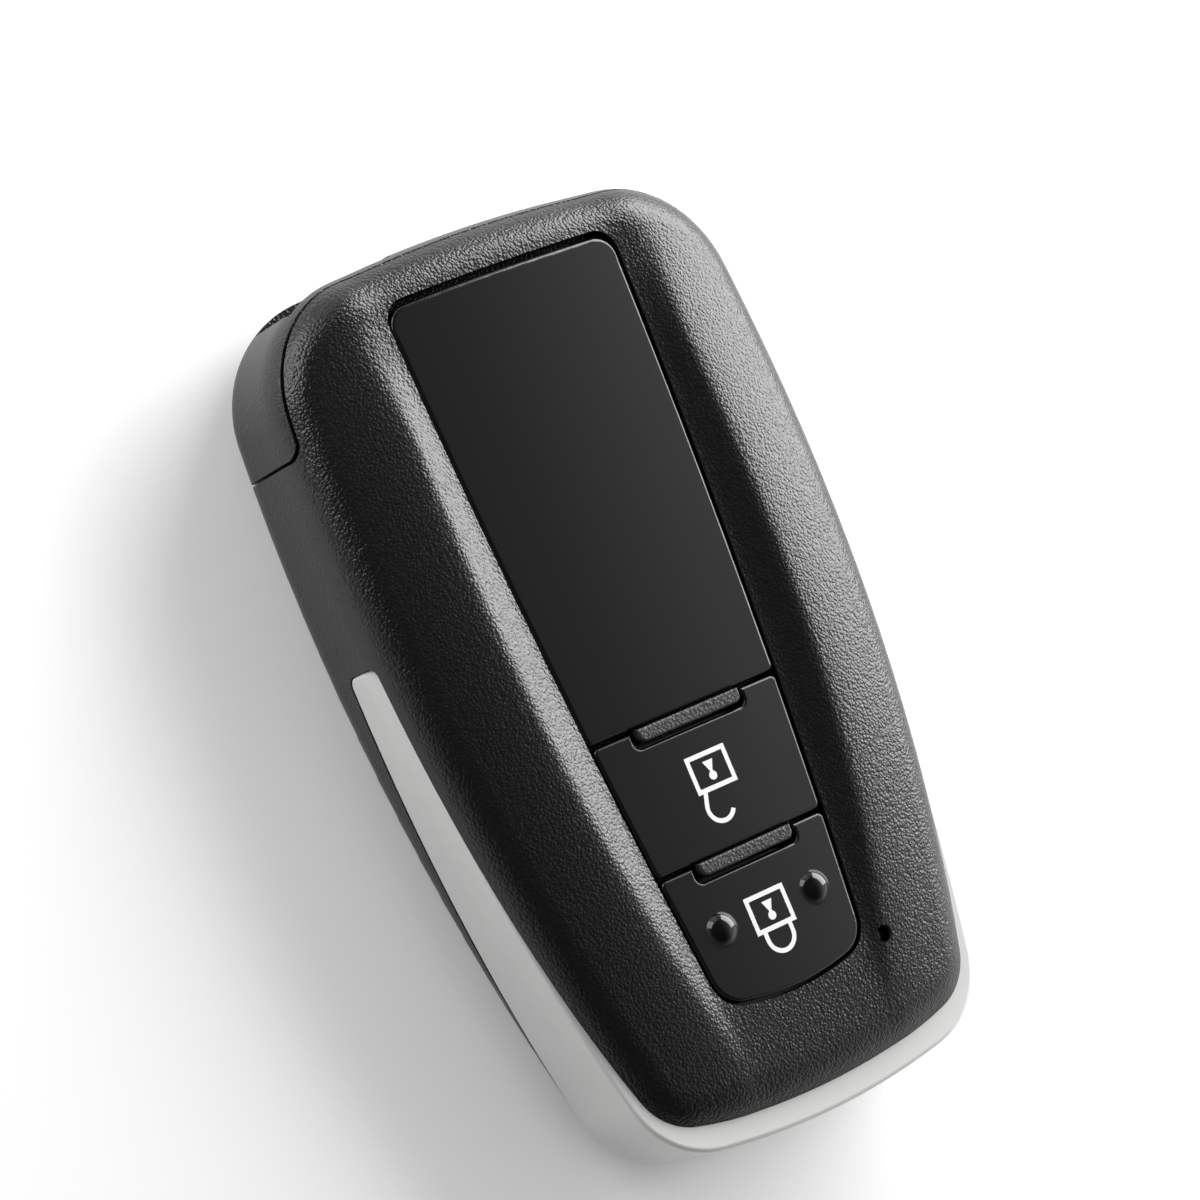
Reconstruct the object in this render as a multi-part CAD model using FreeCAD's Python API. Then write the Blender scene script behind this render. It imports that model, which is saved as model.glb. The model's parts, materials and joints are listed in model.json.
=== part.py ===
import FreeCAD
import Part
import math
import os

# Key fob shell: a smart-key case with two buttons, a white end trim, the electronics that it
# holds and an emergency key that slides out of its upper end.
#
# Millimetres. The fob lies on its back: +Z is the button face, +Y points to the key head end and
# the origin is at the middle of the flat back. Heights are stacked from the back upwards, so each
# size below is set once and what rests on it follows.

Vector = FreeCAD.Vector

# Case outline, seen from the front: arcs at both ends and both flanks, with round corners.
case_length = 75.0
case_width = 44.9
case_widest_y = 13.8
flank_radius = 188.0
top_end_radius = 122.0
top_corner_radius = 9.8
bottom_end_radius = 64.0
bottom_corner_radius = 6.0
front_edge_radius = 4.0
rear_edge_radius = 3.5

# Walls and fits. A cutter runs past what it cuts by the overcut.
overcut = 1.0
side_wall = 2.2
end_wall = 2.2
rear_plate = 1.4
cover_skin = 1.4
slide_fit = 0.2
close_fit = 0.05
press_room = 0.15

# Crown of the front face, and the channel that is sunk into it round the window.
channel_depth = 1.9
crown_middle_y = 3.0
crown_top_drop = 1.2
crown_side_drop = 3.0
channel_slope = 0.44
channel_top_slope = 0.14
channel_slope_fade = 16.0
channel_margin = 0.25
channel_blend = 0.5
ridge_blend = 0.35
channel_corner = 3.0

# Lines that the front face is drawn through: close at the channel's edge, wide elsewhere.
line_overhang = 4.0
line_fine = 0.45
line_coarse = 2.5
line_growth = 0.3
line_fine_reach = 3.6
line_end_fine = 0.6
line_end_coarse = 2.0
line_long_fine = 0.8
line_long_coarse = 4.0
line_floor_shares = (0.35, 0.63, 0.85, 0.97)

# Window in the front cover, and what fills it.
window_width = 22.45
window_top_margin = 3.95
window_widest_beyond = 11.55
window_flank_radius = 660.0
window_top_radius = 400.0
window_top_corner = 2.0
window_bottom_margin = 9.85
window_bottom_radius = 24.0
window_bottom_corner = 3.0
window_gap = 0.15
panel_top_gap = 0.5
key_gap = 0.3
lock_key_length = 12.0
unlock_key_length = 11.4
key_top_drop = 0.15
key_crown_rise = 0.35
key_edge_radius = 0.3
key_corner_radius = 0.5
panel_thickness = 1.0
panel_edge_radius = 0.4

# Raised ribs of the front cover, one beside each key, and the bars that carry them.
rib_width = 1.1
unlock_rib_length = 10.0
lock_rib_length = 9.1
rib_proud = 0.3
rib_edge_radius = 0.2
rib_corner_radius = 0.6
rib_room = 0.4
bar_thickness = 0.9
bar_margin = 0.1

# Keys and their travel.
key_travel = 0.3
key_flange = 0.4
key_flange_width = 0.6
plunger_radius = 1.4
dome_span = 1.2
dome_web = 0.2
well_margin = 1.0
pip_diameter = 2.8
pip_height = 0.75
pip_offset = 4.6
pip_from_seam = 5.4
pip_root = 0.2

# Padlock pictograms.
stroke = 0.38
symbol_depth = 0.3
lock_body_width = 3.88
lock_body_height = 3.1
unlock_symbol_from_seam = 5.1
lock_symbol_from_seam = 5.5
shackle_radius = 1.22
shackle_straight = 0.6
open_shackle_radius = 1.17
open_shackle_left = 0.5
open_shackle_foot = 1.23
open_shackle_drop = 1.33
open_shackle_start = 165.0
open_shackle_stop = 332.0
keyhole_width = 1.0
keyhole_neck = 0.3
keyhole_rise = 0.78
keyhole_radius = 0.36
keyhole_drop = 0.47

# Circuit board and what sits on it.
board_thickness = 0.8
board_gap = 0.3
switch_length = 4.2
switch_width = 3.2
switch_height = 0.9
stem_radius = 0.8
stem_out = 0.35
stem_in = 0.3
membrane_thickness = 0.35
membrane_room = 0.25
membrane_margin = 0.9
membrane_skirt = 0.8
led_length = 1.6
led_width = 0.8
led_height = 0.6
pipe_radius = 0.62
pipe_collar = 0.3
pipe_collar_height = 0.5
pipe_sink = 0.9
pipe_room = 0.3
pipe_from_window = 1.55
pipe_from_bottom = 10.87
antenna_size = 10.5
antenna_height = 2.9
antenna_flange = 0.7

# Chips: place across, distance from the compartment's end, length, width and height.
chip_packages = [
    (-6.5, 8.0, 5.0, 5.0, 0.8),
    (2.0, 7.0, 4.9, 3.9, 1.2),
    (9.0, 7.5, 3.2, 2.5, 0.7),
    (-1.5, 14.5, 6.5, 4.4, 1.0),
    (7.5, 14.5, 2.0, 1.2, 0.6),
    (-9.0, 15.0, 2.0, 1.2, 0.6),
]

# Coin cell and its contacts.
cell_diameter = 20.0
cell_height = 3.2
cell_rim = 0.3
cell_fit = 0.25
cell_cap_margin = 1.6
cell_from_wall = 5.5
cell_ring_height = 2.2
contact_sheet = 0.2
contact_dimple = 0.1
contact_dimple_radius = 0.5
contact_dimple_spread = 2.6
contact_plate_radius = 4.0
contact_strip = 3.0

# Inner frame, seal and emergency key.
frame_floor = 0.6
frame_wall = 0.8
frame_fit = 0.15
post_radius = 1.3
post_inward = 4.2
post_from_wall = 12.5
post_from_bottom = 11.0
pin_radius = 0.5
pin_proud = 0.3
seal_width = 0.9
seal_height = 0.8
seal_ledge = 1.1
lip_height = 2.0
lip_thickness = 1.0
head_length = 12.8
head_height = 10.6
head_gap = 0.26
head_seam_radius = 1.2
blade_width = 7.5
blade_thickness = 2.0
blade_reach = 42.5
blade_root = 7.0
blade_x = 7.0
blade_lift = 0.2
blade_groove_width = 2.6
blade_groove_depth = 0.5
blade_groove_stop = 4.0
blade_tip_chamfer = 2.0
notch_length = 2.6
notch_depth = 1.0
rail_thickness = 1.0
ring_slot_width = 10.5
ring_slot_side = 5.25
ring_slot_bottom = 3.4
ring_slot_top = 9.7
ring_bar_length = 4.2
ring_exit_length = 4.6
ring_slot_corner = 1.2

# Release slider in the back.
slider_travel = 2.0
slider_pad_length = 6.0
slider_pad_width = 3.4
slider_flange = 0.8
slider_overlap = 0.6
slider_sink = 0.2
slider_nose_height = 1.6
slider_nose_root = 1.0
slider_grooves = 5
slider_groove_width = 0.5
slider_groove_depth = 0.3
slider_from_wall = 5.2
spring_length = 5.4
spring_diameter = 1.8
spring_wire = 0.3
spring_turns = 7
spring_seat = 0.8

# White trim round the lower end.
trim_bulge = 1.2
trim_depth = 1.15
trim_tip_y = 7.9
trim_flank_radius = 190.0
trim_end_radius = 65.0
trim_corner_radius = 7.5
trim_rear_at_tip = 5.3
trim_rear_at_end = 1.6
trim_front_at_tip = 9.7
trim_front_at_end = 11.0
trim_shoulder_at_tip = 11.4
trim_shoulder_at_end = 14.8
trim_tip_radius = 0.9
trim_front_edge = 0.35

# Levels and places that follow from the sizes above.
half_length = case_length / 2
half_width = case_width / 2
top_y = half_length
cover_bottom_y = trim_bulge - half_length
head_y = top_y - head_length
wall_y = head_y - head_gap / 2
compartment_y = wall_y - end_wall
blade_z = rear_plate + blade_lift
frame_z = blade_z + blade_thickness + blade_lift
cell_z = frame_z + frame_floor
board_z = cell_z + cell_height + contact_sheet + contact_dimple
board_top = board_z + board_thickness
switch_top = board_top + switch_height
membrane_z = switch_top + membrane_room
ceiling_z = membrane_z + membrane_thickness
key_z = ceiling_z + press_room + key_travel
well_z = key_z + key_flange + press_room
channel_z = well_z + cover_skin
crown_z = channel_z + channel_depth
bar_z = ceiling_z + slide_fit
bar_top = bar_z + bar_thickness
seat_z = channel_z - panel_thickness
key_edge_z = channel_z - key_top_drop
key_crown_z = key_edge_z + key_crown_rise
rib_z = key_crown_z + rib_proud
window_top_y = top_y - window_top_margin
window_widest_y = window_top_y + window_widest_beyond
window_bottom_y = window_bottom_margin - half_length
lock_seam_y = window_bottom_y + lock_key_length
unlock_seam_y = lock_seam_y + unlock_key_length
seal_z = frame_z + frame_floor
seal_top = seal_z + seal_height
tall = 2 * crown_z


def box(x0, x1, y0, y1, z0, z1):
    """Block between two corners."""
    return Part.makeBox(x1 - x0, y1 - y0, z1 - z0, Vector(x0, y0, z0))


def post(x, y, z0, z1, radius):
    """Upright cylinder."""
    return Part.makeCylinder(radius, z1 - z0, Vector(x, y, z0))


def mirrored(shape):
    """The shape on the other side of the middle plane."""
    return shape.mirror(Vector(0, 0, 0), Vector(1, 0, 0))


def edges_where(shape, test):
    """Edges whose middle point passes a test."""
    found = []
    for edge in shape.Edges:
        middle = edge.valueAt((edge.FirstParameter + edge.LastParameter) / 2)
        if test(middle, edge):
            found.append(edge)
    return found


def is_upright(edge):
    """True for a straight edge along Z."""
    extent = edge.BoundBox
    return extent.ZLength > 10 * (extent.XLength + extent.YLength)


class Outline:
    """Symmetric outline of tangent arcs: two ends, two flanks and four corners."""

    def __init__(self, width, widest_y, flank, top, top_arc, top_corner, bottom, bottom_arc,
                 bottom_corner):
        self.flank = (Vector(width / 2 - flank, widest_y, 0), flank)
        self.top = (Vector(0, top - top_arc, 0), top_arc)
        self.bottom = (Vector(0, bottom + bottom_arc, 0), bottom_arc)
        self.top_corner = self.corner(self.top, top_corner, 1)
        self.bottom_corner = self.corner(self.bottom, bottom_corner, -1)

    def corner(self, end, radius, way):
        """Circle of this radius that touches the end arc and the flank arc from inside."""
        end_centre, end_reach = end[0], end[1] - radius
        flank_centre, flank_reach = self.flank[0], self.flank[1] - radius
        apart = (flank_centre - end_centre).Length
        along = (end_reach ** 2 - flank_reach ** 2 + apart ** 2) / (2 * apart)
        across = math.sqrt(end_reach ** 2 - along ** 2)
        unit = (flank_centre - end_centre) / apart
        side = Vector(-unit.y, unit.x, 0) * across
        spots = [end_centre + unit * along + side, end_centre + unit * along - side]
        right = [spot for spot in spots if spot.x > 0]
        return max(right, key=lambda spot: spot.y * way), radius

    def touch(self, circle, corner, inset):
        """Point where an arc runs into a corner."""
        centre, radius = circle
        away = corner[0] - centre
        return centre + away * ((radius - inset) / away.Length)

    def arc(self, circle, start, stop, inset):
        """Arc of a circle between two points on it, the short way round."""
        centre, radius = circle
        middle = (start - centre).normalize() + (stop - centre).normalize()
        return Part.Arc(start, centre + middle.normalize() * (radius - inset), stop).toShape()

    def wire(self, z, inset):
        """Closed outline at a height, moved inwards by an inset."""
        top_end = self.touch(self.top, self.top_corner, inset)
        flank_top = self.touch(self.flank, self.top_corner, inset)
        flank_bottom = self.touch(self.flank, self.bottom_corner, inset)
        bottom_end = self.touch(self.bottom, self.bottom_corner, inset)
        right = [
            self.arc(self.top_corner, top_end, flank_top, inset),
            self.arc(self.flank, flank_top, flank_bottom, inset),
            self.arc(self.bottom_corner, flank_bottom, bottom_end, inset),
        ]
        left = [mirrored(edge) for edge in right]
        flip = Vector(-bottom_end.x, bottom_end.y, 0)
        bottom = self.arc(self.bottom, bottom_end, flip, inset)
        flip = Vector(-top_end.x, top_end.y, 0)
        top = self.arc(self.top, flip, top_end, inset)
        wire = Part.Wire(Part.__sortEdges__(right + [bottom] + left + [top]))
        wire.translate(Vector(0, 0, z))
        return wire

    def prism(self, z0, z1, inset=0.0):
        """Upright solid inside the outline."""
        return Part.Face(self.wire(z0, inset)).extrude(Vector(0, 0, z1 - z0))

    def half_width(self, y):
        """Distance from the middle plane to the flank at a place along the fob."""
        centre, radius = self.flank
        return centre.x + math.sqrt(radius ** 2 - (y - centre.y) ** 2)


case = Outline(case_width, case_widest_y, flank_radius, top_y, top_end_radius, top_corner_radius,
               cover_bottom_y, bottom_end_radius, bottom_corner_radius)
window = Outline(window_width, window_widest_y, window_flank_radius, window_top_y,
                 window_top_radius, window_top_corner, window_bottom_y, window_bottom_radius,
                 window_bottom_corner)
panel = Outline(window_width, window_widest_y, window_flank_radius,
                window_top_y + window_gap - panel_top_gap, window_top_radius, window_top_corner,
                window_bottom_y, window_bottom_radius, window_bottom_corner)
trim = Outline(case_width, case_widest_y, trim_flank_radius, top_y, top_end_radius,
               top_corner_radius, -half_length, trim_end_radius, trim_corner_radius)


def soft_max(a, b, blend):
    """The larger of two values, with a rounded change from one to the other."""
    return (a + b + math.sqrt((a - b) ** 2 + blend ** 2)) / 2


def soft_min(a, b, blend):
    """The smaller of two values, with a rounded change."""
    return -soft_max(-a, -b, blend)


def channel_half(y):
    """Half the width of the channel's flat floor."""
    return (window_width / 2 + channel_margin
            - (y - window_widest_y) ** 2 / (2 * window_flank_radius))


def channel_distance(x, y):
    """How far a point lies outside the channel's floor, which is open at the lower end."""
    side = abs(x) - channel_half(y) + channel_corner
    end = y - window_top_y - channel_margin + x ** 2 / (2 * window_top_radius) + channel_corner
    beyond = math.hypot(max(side, 0.0), max(end, 0.0))
    return min(max(side, end), 0.0) + beyond - channel_corner


def crown_height(x, y):
    """Height of the crown, which comes down to the channel's floor where the lower edge rounds."""
    end, drop = top_y, crown_top_drop
    if y < crown_middle_y:
        end, drop = cover_bottom_y + front_edge_radius, channel_depth
    long_drop = drop * ((y - crown_middle_y) / (end - crown_middle_y)) ** 2
    return crown_z - long_drop - crown_side_drop * abs(x / half_width) ** 3


def channel_steepness(y):
    """Rise of the channel's slope, which flattens out towards the upper end."""
    gone = (y - top_y + channel_slope_fade) / (channel_slope_fade - front_edge_radius)
    share = min(max(gone, 0.0), 1.0)
    return channel_slope - (channel_slope - channel_top_slope) * share ** 2 * (3 - 2 * share)


def front_height(x, y):
    """Height of the front face: the lower one of the crown and the channel's slope."""
    beside = soft_max(channel_distance(x, y), 0.0, channel_blend)
    slope = channel_z + channel_steepness(y) * beside
    return soft_min(crown_height(x, y), slope, ridge_blend)


def stations(start, stop, fine_start, fine_stop, fine, coarse):
    """Positions from start to stop, close together in one stretch and wider elsewhere."""
    found = [start]
    while found[-1] < stop:
        here = found[-1]
        away = max(fine_start - here, here - fine_stop, 0.0)
        found.append(here + min(coarse, fine + away * line_growth))
    return found


def front_surface():
    """Smooth surface through the heights, on lines that follow the channel's taper."""
    far_y = half_length + line_overhang
    reach = half_width - channel_half(window_widest_y) + 2 * line_overhang
    outside = stations(0.0, reach, 0.0, line_fine_reach, line_fine, line_coarse)
    down = stations(-window_top_y, far_y, -window_top_y, -window_top_y, line_long_fine,
                    line_long_coarse)
    up = stations(window_top_y, far_y, window_top_y, far_y, line_end_fine, line_end_coarse)
    lines = []
    for y in [-place for place in reversed(down)] + up[1:]:
        half = channel_half(y)
        right = [half * share for share in line_floor_shares] + [half + step for step in outside]
        row = [-x for x in reversed(right)] + [0.0] + right
        lines.append([Vector(x, y, front_height(x, y)) for x in row])
    surface = Part.BSplineSurface()
    surface.interpolate(lines)
    return surface


def case_body():
    """Full case: outline under the front face, with its front and rear edges rounded."""
    under = front_surface().toShape().extrude(Vector(0, 0, -2 * tall))
    body = case.prism(0.0, tall).common(under)
    front = max(body.Faces, key=lambda face: face.CenterOfMass.z)
    body = body.makeFillet(front_edge_radius, front.Edges)
    rear = min(body.Faces, key=lambda face: face.CenterOfMass.z)
    return body.makeFillet(rear_edge_radius, rear.Edges)


def compartment(z0, z1, inset):
    """Inside of the case below the head, moved inwards from the outer face by an inset."""
    space = case.prism(z0, z1, inset)
    end = compartment_y + side_wall - inset
    return space.common(box(-case_width, case_width, -case_length, end, z0, z1))


def between_seams(outline, z0, z1, inset, y0, y1):
    """Part of an outline's prism between two places along the fob."""
    return outline.prism(z0, z1, inset).common(box(-case_width, case_width, y0, y1, z0, z1))


def head_space(gap):
    """Block of the case that the key head fills, grown by a gap."""
    y0 = head_y - gap / 2
    z1 = head_height + gap / 2
    block = box(-case_width, case_width, y0, case_length, -tall, z1)
    corner = edges_where(block, lambda p, edge: abs(p.y - y0) < 0.01 and abs(p.z - z1) < 0.01)
    return block.makeFillet(head_seam_radius, corner)


def key_places():
    """For each key: its name, its lower and upper ends, and the length of its rib."""
    return [
        ("unlock", lock_seam_y, unlock_seam_y, unlock_rib_length),
        ("lock", window_bottom_y, lock_seam_y, lock_rib_length),
    ]


def crown_cylinder(drop=0.0):
    """Everything under the crown that the keys and the panel share; its seam is turned down."""
    half = window_width / 2
    radius = (half ** 2 + key_crown_rise ** 2) / (2 * key_crown_rise) - drop
    centre = Vector(0, -case_length, key_crown_z - drop - radius)
    cylinder = Part.makeCylinder(radius, 2 * case_length, centre, Vector(0, 1, 0))
    return cylinder.rotate(centre, Vector(0, 1, 0), 180)


def rib(length, seam):
    """Raised rib just below a seam, with soft edges and round lower corners."""
    block = box(-length / 2, length / 2, seam - rib_width, seam, bar_top, rib_z)
    corners = edges_where(block, lambda p, edge: is_upright(edge) and p.y < seam - rib_width / 2)
    block = block.makeFillet(rib_corner_radius, corners)
    top = edges_where(block, lambda p, edge: p.z > rib_z - 0.01)
    return block.makeFillet(rib_edge_radius, top)


def bar(seam):
    """Crossbar of the front cover under a seam."""
    half = window.half_width(seam) + well_margin + side_wall / 2
    return box(-half, half, seam - rib_width - bar_margin, seam + bar_margin, bar_z, bar_top)


def pipe_place():
    """Where the indicator's light pipe stands, on the slope beside the window."""
    y = pipe_from_bottom - half_length
    return window.half_width(y) + pipe_from_window, y


def light_pipe():
    """Round clear rod with a collar under the cover."""
    x, y = pipe_place()
    surface = front_height(x, y)
    rod = post(x, y, board_top + led_height, surface - pipe_sink, pipe_radius)
    collar = post(x, y, ceiling_z - pipe_collar_height, ceiling_z, pipe_radius + pipe_collar)
    return rod.fuse(collar).removeSplitter()


def trim_profile(gap):
    """Side view of the trim, from its tips to the lower end, grown by a gap."""
    end_y = -half_length - trim_bulge
    share = (trim_tip_y - end_y) / (trim_tip_y + half_length)
    rear_end = trim_rear_at_tip + (trim_rear_at_end - trim_rear_at_tip) * share
    front_end = trim_front_at_tip + (trim_front_at_end - trim_front_at_tip) * share
    corners = [
        Vector(-case_width, trim_tip_y + gap, trim_rear_at_tip - gap),
        Vector(-case_width, trim_tip_y + gap, trim_front_at_tip + gap),
        Vector(-case_width, end_y, front_end + gap),
        Vector(-case_width, end_y, rear_end - gap),
    ]
    block = Part.Face(Part.makePolygon(corners + corners[:1])).extrude(Vector(2 * case_width, 0, 0))
    tips = edges_where(block, lambda p, edge: p.y > trim_tip_y - 0.1 and abs(p.x) < 0.01)
    return block.makeFillet(trim_tip_radius, tips)


def trim_skin():
    """Solid under the trim's outer face: flush with the case at the tips, proud at the end."""
    slope = (trim_shoulder_at_end - trim_shoulder_at_tip) / (trim_tip_y + half_length)
    above = trim_shoulder_at_tip - slope * (case_length - trim_tip_y)
    below = trim_shoulder_at_tip + slope * (case_length + trim_tip_y)
    side = [Vector(-case_width, case_length, -tall), Vector(-case_width, case_length, above),
            Vector(-case_width, -case_length, below), Vector(-case_width, -case_length, -tall)]
    under = Part.Face(Part.makePolygon(side + side[:1])).extrude(Vector(2 * case_width, 0, 0))
    skin = trim.prism(0.0, 2 * tall).common(under)
    front = max(skin.Faces, key=lambda face: face.CenterOfMass.z)
    skin = skin.makeFillet(front_edge_radius, front.Edges)
    rear = edges_where(skin, lambda p, edge: p.z < 0.01)
    return skin.makeFillet(rear_edge_radius, rear)


def side_trim():
    """White band let into the case and standing proud round the lower end."""
    skin = trim_skin()
    band = skin.common(trim_profile(0.0)).cut(case.prism(-tall, tall, trim_depth))
    front = edges_where(band, lambda p, edge: is_front_outer(p, edge))
    return band.makeFillet(trim_front_edge, front)


def is_front_outer(p, edge):
    """True for the trim's outer edges along its front side."""
    share = (trim_tip_y - p.y) / (trim_tip_y + half_length)
    front = trim_front_at_tip + (trim_front_at_end - trim_front_at_tip) * share
    inside = case.prism(-tall, tall, trim_depth / 2).isInside(p, 0.001, True)
    return abs(p.z - front) < 0.05 and not inside and p.y < trim_tip_y - trim_tip_radius


def trim_recess():
    """Groove of the case that takes the trim."""
    around = box(-case_width, case_width, -case_length, case_length, -tall, tall)
    return around.cut(case.prism(-tall, tall, trim_depth)).common(trim_profile(0.0))


def front_cover(body):
    """Textured cover with its side walls, window, crossbars and ribs."""
    cover = body.cut(box(-case_width, case_width, -case_length, wall_y, -tall, rear_plate))
    cover = cover.cut(head_space(head_gap))
    cover = cover.cut(compartment(0.0, seal_top, side_wall))
    cover = cover.cut(compartment(0.0, ceiling_z, side_wall + seal_ledge))
    well = between_seams(window, ceiling_z - overcut, well_z, -well_margin, -case_length,
                         unlock_seam_y + bar_margin)
    cover = cover.cut(well)
    keys = between_seams(window, well_z - overcut, tall, 0.0, -case_length,
                         unlock_seam_y + bar_margin)
    cover = cover.cut(keys)
    cover = cover.cut(window.prism(seat_z, tall))
    for name, low, seam, rib_length in key_places():
        cover = cover.fuse(bar(seam)).fuse(rib(rib_length, seam))
    x, y = pipe_place()
    cover = cover.cut(post(x, y, ceiling_z - overcut, tall, pipe_radius + close_fit))
    cover = cover.cut(blade_channel(compartment_y - overcut, head_y + overcut))
    return cover.cut(trim_recess()).removeSplitter()


def blade_channel(y0, y1):
    """Clear way for the blade, open to the rear plate."""
    half = blade_width / 2 + slide_fit
    top = blade_z + blade_thickness + slide_fit
    return box(blade_x - half, blade_x + half, y0, y1, rear_plate, top)


def slider_y():
    """Middle of the release slider along the fob."""
    return compartment_y - slider_from_wall


def slider_right():
    """Right end of the slider's body, next to the blade."""
    return blade_x - blade_width / 2 - notch_depth


def rear_cover(body):
    """Plate that closes the back, with its lip, the blade's rails and the frame's posts."""
    plate = body.common(box(-case_width, case_width, -case_length, wall_y, -tall, rear_plate))
    lip = compartment(rear_plate, rear_plate + lip_height, side_wall + frame_fit)
    inner = side_wall + frame_fit + lip_thickness
    lip = lip.cut(compartment(0.0, tall, inner))
    lip = lip.cut(blade_channel(0.0, top_y))
    pieces = [lip]
    half = blade_width / 2 + slide_fit
    tip_y = head_y - blade_reach
    rail_stop = compartment_y - frame_fit - lip_thickness
    left_stop = slider_y() - slider_pad_width / 2 - slider_overlap - slide_fit
    pieces.append(box(blade_x + half, blade_x + half + rail_thickness, tip_y, rail_stop,
                      rear_plate, frame_z))
    pieces.append(box(blade_x - half - rail_thickness, blade_x - half, tip_y, left_stop,
                      rear_plate, frame_z))
    for x, y in post_places():
        pieces.append(post(x, y, rear_plate, frame_z, post_radius))
    left = slider_left() - spring_length
    seat = box(left - spring_seat, left, slider_y() - spring_diameter / 2 - spring_seat / 2,
               slider_y() + spring_diameter / 2 + spring_seat / 2, rear_plate, frame_z)
    pieces.append(seat)
    plate = plate.multiFuse(pieces)
    return plate.cut(slider_opening()).removeSplitter()


def post_places():
    """Corners of the frame where it stands on the rear cover and carries the board."""
    places = []
    for y in (compartment_y - post_from_wall, cover_bottom_y + post_from_bottom):
        x = case.half_width(y) - side_wall - post_inward
        places += [(x, y), (-x, y)]
    return places


def inner_frame():
    """Carrier for the cell and the board, above the blade's way."""
    floor = compartment(frame_z, frame_z + frame_floor, side_wall + frame_fit)
    x, y = cell_place()
    inner = cell_diameter / 2 + cell_fit
    ring = post(x, y, cell_z, cell_z + cell_ring_height, inner + frame_wall)
    ring = ring.cut(post(x, y, 0.0, tall, inner))
    gap = contact_strip / 2 + slide_fit
    ring = ring.cut(box(x, x + cell_diameter, y - gap, y + gap, 0.0, tall))
    pieces = [ring]
    for px, py in post_places():
        pieces.append(post(px, py, cell_z, board_z, post_radius))
        pieces.append(post(px, py, board_z, board_top + pin_proud, pin_radius))
    return floor.multiFuse(pieces).removeSplitter()


def cell_place():
    """Middle of the coin cell."""
    return 0.0, compartment_y - cell_from_wall - cell_diameter / 2


def coin_cell():
    """Coin cell: a can with a round edge and the raised cap of its other pole."""
    x, y = cell_place()
    radius = cell_diameter / 2
    can = post(x, y, cell_z, cell_z + cell_height - cell_rim, radius)
    round_edges = [edge for edge in can.Edges if edge.Closed]
    can = can.makeFillet(cell_rim, round_edges)
    cap = post(x, y, cell_z + cell_rim, cell_z + cell_height, radius - cell_cap_margin)
    return can.fuse(cap).removeSplitter()


def positive_contact():
    """Bent strip that touches the can's side and reaches under the board."""
    x, y = cell_place()
    left = x + cell_diameter / 2
    half = contact_strip / 2
    upright = box(left, left + contact_sheet, y - half, y + half, cell_z + cell_rim, board_z)
    foot = box(left, left + contact_strip, y - half, y + half, board_z - contact_sheet, board_z)
    return upright.fuse(foot).removeSplitter()


def negative_contact():
    """Plate under the board with three dimples that rest on the cell's cap."""
    x, y = cell_place()
    plate = post(x, y, board_z - contact_sheet, board_z, contact_plate_radius)
    for step in range(3):
        angle = math.radians(90 + 120 * step)
        dx = contact_dimple_spread * math.cos(angle)
        dy = contact_dimple_spread * math.sin(angle)
        dimple = post(x + dx, y + dy, cell_z + cell_height, board_z - contact_sheet / 2,
                      contact_dimple_radius)
        plate = plate.fuse(dimple)
    return plate.removeSplitter()


def circuit_board():
    """Board that follows the case, with holes for the frame's pins."""
    board = compartment(board_z, board_top, side_wall + seal_ledge + board_gap)
    for x, y in post_places():
        board = board.cut(post(x, y, 0.0, tall, pin_radius + close_fit))
    return board


def switch_place(low, seam):
    """Middle of a key's switch along the fob."""
    return (low + seam) / 2


def push_switch(y):
    """Push switch with the well that its stem dips into."""
    half_l = switch_length / 2
    half_w = switch_width / 2
    body = box(-half_l, half_l, y - half_w, y + half_w, board_top, switch_top)
    depth = stem_length() - stem_out + key_travel + close_fit
    return body.cut(post(0.0, y, switch_top - depth, tall, stem_radius + close_fit))


def stem_length():
    """Length of a switch's stem."""
    return stem_out + stem_in


def switch_stem(y):
    """Stem of a push switch, up to the plunger."""
    top = switch_top + stem_out
    return post(0.0, y, top - stem_length(), top, stem_radius)


def plunger(y):
    """Silicone plunger between a key and its switch."""
    return post(0.0, y, switch_top + stem_out, key_z, plunger_radius)


def dome_web_ring(y):
    """Soft web that joins a plunger to the membrane."""
    z0 = membrane_z + (membrane_thickness - dome_web) / 2
    ring = post(0.0, y, z0, z0 + dome_web, plunger_radius + dome_span)
    return ring.cut(post(0.0, y, 0.0, tall, plunger_radius))


def keypad_membrane():
    """Silicone sheet clamped under the cover, with a skirt that stands on the board."""
    top = unlock_seam_y + well_margin + membrane_margin
    reach = -well_margin - membrane_margin
    sheet = between_seams(window, board_top, ceiling_z, reach, -case_length, top)
    room = between_seams(window, 0.0, membrane_z, reach + membrane_skirt, -case_length,
                         top - membrane_skirt)
    sheet = sheet.cut(room)
    for name, low, seam, rib_length in key_places():
        y = switch_place(low, seam)
        sheet = sheet.cut(post(0.0, y, 0.0, tall, plunger_radius + dome_span))
    x, y = pipe_place()
    return sheet.cut(post(x, y, 0.0, tall, pipe_radius + pipe_collar + pipe_room))


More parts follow.
